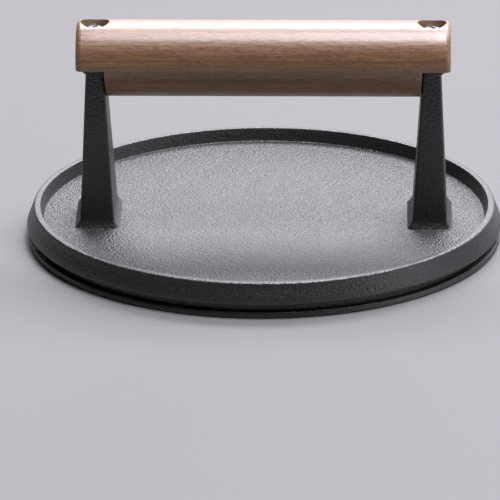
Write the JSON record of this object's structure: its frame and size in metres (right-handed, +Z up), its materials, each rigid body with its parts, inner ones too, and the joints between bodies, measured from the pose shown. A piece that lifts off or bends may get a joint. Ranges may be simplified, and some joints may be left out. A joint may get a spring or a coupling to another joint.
{
  "type": "bacon press",
  "caption": "Round cast-iron bacon press with a shallow rimmed plate, two tapered posts and a half-lapped wooden dowel handle.",
  "frame": {"origin": "centre of the round plate on its flat underside, which is the surface that presses the food", "axes": "+Z up through the plate's centre, +X along the handle, +Y across it, away from the user"},
  "size_m": [0.175, 0.175, 0.083],
  "materials": {
    "cast_iron": "black pre-seasoned sand-cast iron with a fine pebbled skin and a soft sheen",
    "beech": "lacquered steamed beech, grain along the handle, satin",
    "zinc_steel": "zinc-plated steel, slightly dull"
  },
  "bodies": {
    "root": {"press_casting": "cast_iron", "handle_grip": "beech", "flat_washer_left": "zinc_steel", "flat_washer_right": "zinc_steel", "lock_washer_left": "zinc_steel", "lock_washer_right": "zinc_steel", "handle_screw_left": "zinc_steel", "handle_screw_right": "zinc_steel"}
  },
  "joints": []
}
